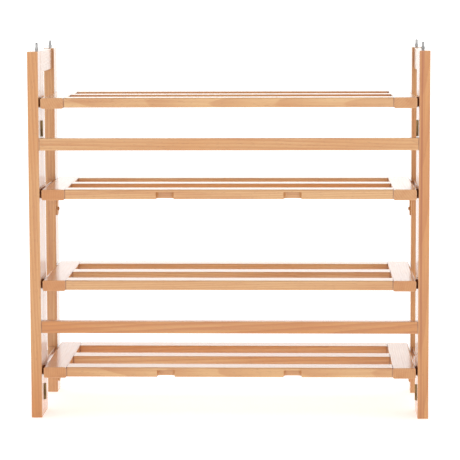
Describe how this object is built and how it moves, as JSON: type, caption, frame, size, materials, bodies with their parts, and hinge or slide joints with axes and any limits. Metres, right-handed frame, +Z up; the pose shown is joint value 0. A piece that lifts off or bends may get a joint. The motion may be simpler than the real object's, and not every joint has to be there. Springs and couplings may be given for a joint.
{
  "type": "folding shoe rack",
  "caption": "Tiered wooden shoe rack with slatted shelves that swing up between a railed back frame and two hinged side frames",
  "frame": {"origin": "on the floor, at the centre of the rack's footprint", "axes": "+Z up; +X along the shelves, to the right as seen from the railed side; -Y is the railed side, +Y the open side"},
  "size_m": [0.74, 0.295, 0.698],
  "materials": {
    "frame_wood": "satin clear lacquer",
    "shelf_wood": "satin clear lacquer",
    "dowel_wood": "raw beech",
    "hinge_brass": "dull aged brass plating",
    "pin_steel": "zinc-plated turned steel",
    "washer_fibre": "dark brown vulcanised fibre"
  },
  "bodies": {
    "frame": {"back_rail_upper": "frame_wood", "back_rail_lower": "frame_wood", "post_left": "frame_wood", "stile_hinged_left": "frame_wood", "stile_open_left": "frame_wood", "side_rail_top_left": "frame_wood", "side_rail_middle_left": "frame_wood", "side_rail_bottom_left": "frame_wood", "hinge_upper_left_post_leaf": "hinge_brass", "hinge_upper_left_stile_leaf": "hinge_brass", "hinge_lower_left_post_leaf": "hinge_brass", "hinge_lower_left_stile_leaf": "hinge_brass", "bracket_shelf_2_left": "hinge_brass", "bracket_shelf_4_left": "hinge_brass", "post_right": "frame_wood", "stile_hinged_right": "frame_wood", "stile_open_right": "frame_wood", "side_rail_top_right": "frame_wood", "side_rail_middle_right": "frame_wood", "side_rail_bottom_right": "frame_wood", "hinge_upper_right_post_leaf": "hinge_brass", "hinge_upper_right_stile_leaf": "hinge_brass", "hinge_lower_right_post_leaf": "hinge_brass", "hinge_lower_right_stile_leaf": "hinge_brass", "bracket_shelf_2_right": "hinge_brass", "bracket_shelf_4_right": "hinge_brass", "frame_dowels": "dowel_wood", "hinge_pins": "hinge_brass", "hinge_screws": "hinge_brass", "bracket_screws": "hinge_brass", "pivot_pins": "pin_steel", "pivot_washers": "washer_fibre", "shelf_rest_pins": "pin_steel", "stacking_pins": "pin_steel"},
    "shelf_1": {"shelf_1_end_left": "shelf_wood", "shelf_1_end_right": "shelf_wood", "shelf_1_slat_rail_side": "shelf_wood", "shelf_1_slat_middle": "shelf_wood", "shelf_1_slat_open_side": "shelf_wood", "shelf_1_dowels": "dowel_wood"},
    "shelf_2": {"shelf_2_end_left": "shelf_wood", "shelf_2_end_right": "shelf_wood", "shelf_2_slat_rail_side": "shelf_wood", "shelf_2_slat_middle": "shelf_wood", "shelf_2_slat_open_side": "shelf_wood", "shelf_2_dowels": "dowel_wood"},
    "shelf_3": {"shelf_3_end_left": "shelf_wood", "shelf_3_end_right": "shelf_wood", "shelf_3_slat_rail_side": "shelf_wood", "shelf_3_slat_middle": "shelf_wood", "shelf_3_slat_open_side": "shelf_wood", "shelf_3_dowels": "dowel_wood"},
    "shelf_4": {"shelf_4_end_left": "shelf_wood", "shelf_4_end_right": "shelf_wood", "shelf_4_slat_rail_side": "shelf_wood", "shelf_4_slat_middle": "shelf_wood", "shelf_4_slat_open_side": "shelf_wood", "shelf_4_dowels": "dowel_wood"}
  },
  "joints": [
    {"name": "shelf_1_fold", "type": "hinge", "parent": "frame", "child": "shelf_1", "pos_m": [0, -0.1175, 0.588], "axis": [1, 0, 0], "range_deg": [0, 82]},
    {"name": "shelf_2_fold", "type": "hinge", "parent": "frame", "child": "shelf_2", "pos_m": [0, -0.1175, 0.4185], "axis": [1, 0, 0], "range_deg": [0, 82]},
    {"name": "shelf_3_fold", "type": "hinge", "parent": "frame", "child": "shelf_3", "pos_m": [0, -0.1175, 0.249], "axis": [1, 0, 0], "range_deg": [0, 82]},
    {"name": "shelf_4_fold", "type": "hinge", "parent": "frame", "child": "shelf_4", "pos_m": [0, -0.1175, 0.0855], "axis": [1, 0, 0], "range_deg": [0, 82]}
  ],
  "couplings": [
    {"joint": "shelf_2_fold", "follows": "shelf_1_fold", "ratio": 1},
    {"joint": "shelf_3_fold", "follows": "shelf_1_fold", "ratio": 1},
    {"joint": "shelf_4_fold", "follows": "shelf_1_fold", "ratio": 1}
  ]
}
